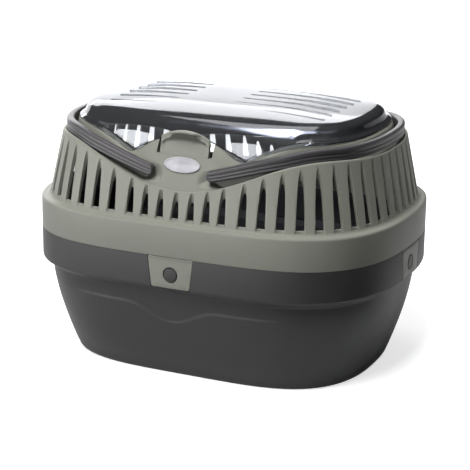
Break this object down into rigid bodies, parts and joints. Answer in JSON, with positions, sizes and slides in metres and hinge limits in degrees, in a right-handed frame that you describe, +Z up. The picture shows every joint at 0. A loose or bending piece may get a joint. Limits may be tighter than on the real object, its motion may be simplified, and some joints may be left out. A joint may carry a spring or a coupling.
{
  "type": "small animal carrier",
  "caption": "Small-animal carrier: oval plastic tub, slotted cover held by snap clips, clear domed lid on a rear hinge with a front latch, and bail handles that meet over the lid.",
  "frame": {"origin": "centre of the tub's floor, on the surface it stands on", "axes": "+X along the length to the right, +Y to the rear hinge, +Z up; the latch, the badge and one clip face -Y"},
  "size_m": [0.3, 0.23, 0.208],
  "materials": {
    "tub_plastic": "anthracite moulded plastic with a faint sheen",
    "cover_plastic": "sage grey moulded plastic, satin",
    "lid_plastic": "clear, polished",
    "handle_plastic": "dark grey moulded plastic, satin, grooved",
    "badge_plastic": "silver, satin, plain"
  },
  "bodies": {
    "tub": {"base_tub": "tub_plastic", "snap_peg_front": "tub_plastic", "snap_peg_rear": "tub_plastic", "snap_peg_left": "tub_plastic", "snap_peg_right": "tub_plastic"},
    "cover": {"top_cover": "cover_plastic", "badge": "badge_plastic"},
    "clip_front": {"clip_front": "cover_plastic"},
    "clip_rear": {"clip_rear": "cover_plastic"},
    "clip_left": {"clip_left": "cover_plastic"},
    "clip_right": {"clip_right": "cover_plastic"},
    "tongue": {"latch_tongue": "cover_plastic"},
    "lid": {"lid": "lid_plastic"},
    "handle_left": {"handle_left": "handle_plastic"},
    "handle_right": {"handle_right": "handle_plastic"}
  },
  "joints": [
    {"name": "cover_lift", "type": "slide", "parent": "tub", "child": "cover", "axis": [0, 0, 1], "range_m": [0, 0.12]},
    {"name": "clip_front_hinge", "type": "hinge", "parent": "cover", "child": "clip_front", "pos_m": [0, -0.115, 0.103], "axis": [-1, 0, 0], "range_deg": [0, 25]},
    {"name": "clip_rear_hinge", "type": "hinge", "parent": "cover", "child": "clip_rear", "pos_m": [0, 0.115, 0.103], "axis": [1, 0, 0], "range_deg": [0, 25]},
    {"name": "clip_left_hinge", "type": "hinge", "parent": "cover", "child": "clip_left", "pos_m": [-0.15, 0, 0.103], "axis": [0, 1, 0], "range_deg": [0, 25]},
    {"name": "clip_right_hinge", "type": "hinge", "parent": "cover", "child": "clip_right", "pos_m": [0.15, 0, 0.103], "axis": [0, -1, 0], "range_deg": [0, 25]},
    {"name": "latch_flex", "type": "hinge", "parent": "cover", "child": "tongue", "pos_m": [0, -0.0924, 0.176], "axis": [1, 0, 0], "range_deg": [0, 8], "stiffness_Nm_per_rad": 0.2},
    {"name": "lid_hinge", "type": "hinge", "parent": "cover", "child": "lid", "pos_m": [0, 0.0865, 0.188], "axis": [-1, 0, 0], "range_deg": [0, 105]},
    {"name": "handle_left_pivot", "type": "hinge", "parent": "cover", "child": "handle_left", "pos_m": [-0.026, 0, 0.163], "axis": [0, -1, 0], "range_deg": [-88, 0]},
    {"name": "handle_right_pivot", "type": "hinge", "parent": "cover", "child": "handle_right", "pos_m": [0.026, 0, 0.163], "axis": [0, 1, 0], "range_deg": [-88, 0]}
  ]
}
